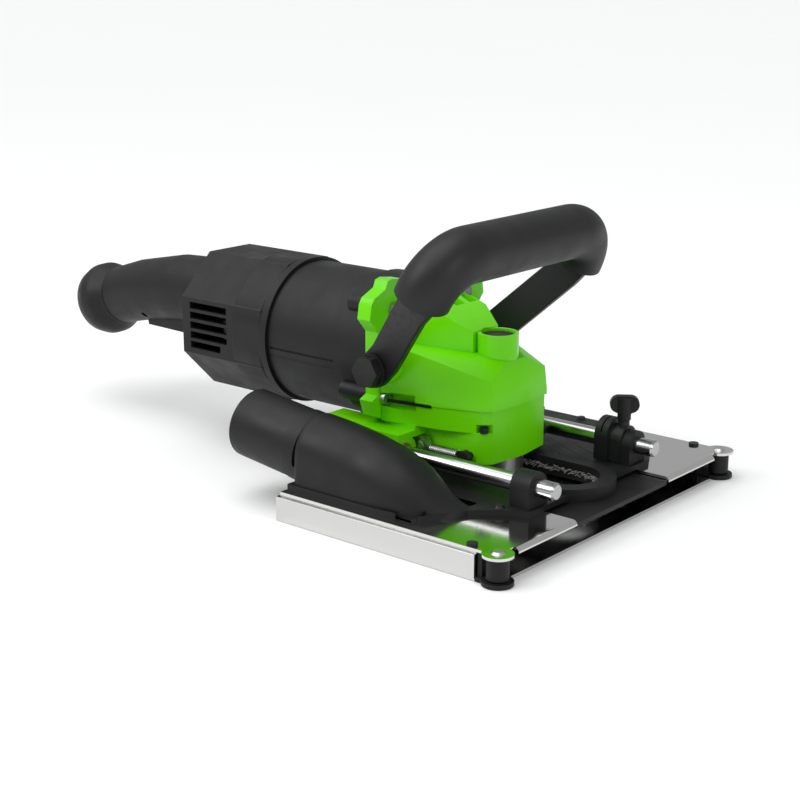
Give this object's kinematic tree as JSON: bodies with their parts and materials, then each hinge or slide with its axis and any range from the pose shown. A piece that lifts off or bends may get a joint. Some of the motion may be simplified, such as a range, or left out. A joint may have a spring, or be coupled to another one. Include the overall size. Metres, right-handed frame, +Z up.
{
  "type": "wall chaser",
  "caption": "Wall chaser: a motor with an angle gear head and a flat-lying saw blade slides on two rods over a thin dust-extraction base, with a bail handle and a stick handle.",
  "frame": {"origin": "centre of the base's underside, on the floor plane", "axes": "+X is the cutting direction, from the stick handle to the front rollers; +Y is the side away from the dust port; +Z is up, away from the worked face"},
  "size_m": [0.456, 0.242, 0.1666],
  "materials": {
    "polished_stainless_sheet_mirror": "polished stainless sheet",
    "satin_stainless_sheet_brushed_steel": "satin stainless sheet",
    "fine_grained_moulding_matte_plastic": "fine-grained moulding",
    "blackened_steel_brushed_steel": "blackened steel",
    "ground_and_plated_chrome": "ground and plated",
    "frayed_bristle_strip_fabric": "frayed bristle strip",
    "bristle_strip_fabric": "bristle strip",
    "zinc_plated_brushed_steel": "zinc plated",
    "worn_satin_rubber": "worn satin",
    "satin_black_painted_metal": "satin black",
    "satin_gloss_plastic": "satin",
    "gloss_lime_green_painted_metal": "gloss lime green",
    "sintered_bronze_brass": "sintered bronze",
    "turned_aluminium": "turned",
    "satin_matte_plastic": "satin",
    "ground_brushed_steel": "ground",
    "cut_and_hardened_brushed_steel": "cut and hardened",
    "turned_brushed_steel": "turned",
    "ground_core_brushed_steel": "ground core",
    "blackened_brushed_steel": "blackened",
    "satin_moulding_gloss_plastic": "satin moulding",
    "stacked_laminations_cast_iron": "stacked laminations",
    "varnished_winding_gloss_plastic": "varnished winding",
    "ground_brushed_steel_b": "ground",
    "copper_bars_brass": "copper bars",
    "pressed_carbon_matte_plastic": "pressed carbon",
    "satin_gloss_plastic_b": "satin",
    "bent_tube_brushed_steel": "bent tube",
    "satin_with_a_moulding_seam_rubber": "satin with a moulding seam"
  },
  "bodies": {
    "base": {"base_tray": "polished_stainless_sheet_mirror", "top_plate": "satin_stainless_sheet_brushed_steel", "corner_blocks": "fine_grained_moulding_matte_plastic", "plate_screws": "blackened_steel_brushed_steel", "dust_hood": "fine_grained_moulding_matte_plastic", "dust_port": "fine_grained_moulding_matte_plastic", "hood_screws": "blackened_steel_brushed_steel", "guide_rod_near": "ground_and_plated_chrome", "guide_rod_far": "ground_and_plated_chrome", "rod_set_screws": "blackened_steel_brushed_steel", "front_brush": "frayed_bristle_strip_fabric", "window_brush": "bristle_strip_fabric", "roller_pins": "zinc_plated_brushed_steel", "spring_anchors": "zinc_plated_brushed_steel", "return_spring_near": "zinc_plated_brushed_steel", "return_spring_far": "zinc_plated_brushed_steel"},
    "motor_unit": {"carriage_housing": "gloss_lime_green_painted_metal", "slide_bushes": "sintered_bronze_brass", "bearing_cap": "turned_aluminium", "spring_bolts": "blackened_steel_brushed_steel", "housing_screws": "blackened_steel_brushed_steel", "gear_case": "gloss_lime_green_painted_metal", "flange_screws": "zinc_plated_brushed_steel", "lock_spring": "zinc_plated_brushed_steel", "upper_bearing": "zinc_plated_brushed_steel", "lower_bearing": "zinc_plated_brushed_steel", "motor_housing": "satin_moulding_gloss_plastic", "stator": "stacked_laminations_cast_iron", "field_coils": "varnished_winding_gloss_plastic", "fan_baffle": "fine_grained_moulding_matte_plastic", "front_bearing": "zinc_plated_brushed_steel", "rear_bearing": "zinc_plated_brushed_steel", "carbon_brushes": "pressed_carbon_matte_plastic", "rear_housing": "satin_moulding_gloss_plastic", "rear_screws": "zinc_plated_brushed_steel", "handle_near": "fine_grained_moulding_matte_plastic", "handle_far": "fine_grained_moulding_matte_plastic", "handle_knob": "fine_grained_moulding_matte_plastic", "switch_block": "fine_grained_moulding_matte_plastic", "trigger_pin": "zinc_plated_brushed_steel", "bail_bolts": "blackened_steel_brushed_steel"},
    "depth_stop": {"depth_stop": "satin_black_painted_metal"},
    "stop_screw": {"depth_stop_screw": "satin_gloss_plastic"},
    "roller_near": {"roller_near": "worn_satin_rubber"},
    "roller_far": {"roller_far": "worn_satin_rubber"},
    "spindle_unit": {"spindle": "ground_brushed_steel", "crown_gear": "cut_and_hardened_brushed_steel", "inner_flange": "turned_brushed_steel", "blade": "ground_core_brushed_steel", "clamp_nut": "blackened_brushed_steel"},
    "armature": {"armature_shaft": "ground_brushed_steel_b", "armature_core": "stacked_laminations_cast_iron", "commutator": "copper_bars_brass", "cooling_fan": "fine_grained_moulding_matte_plastic", "pinion": "cut_and_hardened_brushed_steel"},
    "lock_button": {"lock_button": "satin_matte_plastic"},
    "trigger": {"trigger": "satin_gloss_plastic_b"},
    "bail": {"bail_arms": "satin_black_painted_metal", "bail_core": "bent_tube_brushed_steel", "bail_grip": "satin_with_a_moulding_seam_rubber"}
  },
  "joints": [
    {"name": "plunge", "type": "slide", "parent": "base", "child": "motor_unit", "axis": [1, 0, 0], "range_m": [0, 0.05], "stiffness_N_per_m": 300, "springref_m": -0.03, "deforming": ["return_spring_near", "return_spring_far"]},
    {"name": "depth_stop_slide", "type": "slide", "parent": "base", "child": "depth_stop", "axis": [1, 0, 0], "range_m": [-0.045, 0]},
    {"name": "stop_screw_turn", "type": "hinge", "parent": "depth_stop", "child": "stop_screw", "pos_m": [0.0455, 0.05, 0], "axis": [0, 0, 1], "range_deg": [-90, 90]},
    {"name": "roller_near_spin", "type": "hinge", "parent": "base", "child": "roller_near", "pos_m": [0.075, -0.1125, 0], "axis": [0, 0, 1], "continuous": true},
    {"name": "roller_far_spin", "type": "hinge", "parent": "base", "child": "roller_far", "pos_m": [0.075, 0.1125, 0], "axis": [0, 0, 1], "continuous": true},
    {"name": "armature_spin", "type": "hinge", "parent": "motor_unit", "child": "armature", "pos_m": [-0.1, 0, 0.0775], "axis": [1, 0, 0], "continuous": true},
    {"name": "blade_spin", "type": "hinge", "parent": "motor_unit", "child": "spindle_unit", "pos_m": [-0.01, 0, 0.008], "axis": [0, 0, 1], "continuous": true},
    {"name": "lock_press", "type": "slide", "parent": "motor_unit", "child": "lock_button", "axis": [0, 0, -1], "range_m": [0, 0.0022], "stiffness_N_per_m": 900, "springref_m": -0.003, "deforming": ["lock_spring"]},
    {"name": "trigger_pull", "type": "hinge", "parent": "motor_unit", "child": "trigger", "pos_m": [-0.3, 0, 0.068], "axis": [0, -1, 0], "range_deg": [0, 5], "stiffness_Nm_per_rad": 0.8, "springref_deg": -6.88},
    {"name": "bail_tilt", "type": "hinge", "parent": "motor_unit", "child": "bail", "pos_m": [-0.057, 0, 0.078], "axis": [0, 1, 0], "range_deg": [-25, 10]}
  ],
  "couplings": [
    {"joint": "blade_spin", "follows": "armature_spin", "ratio": 0.34375}
  ]
}
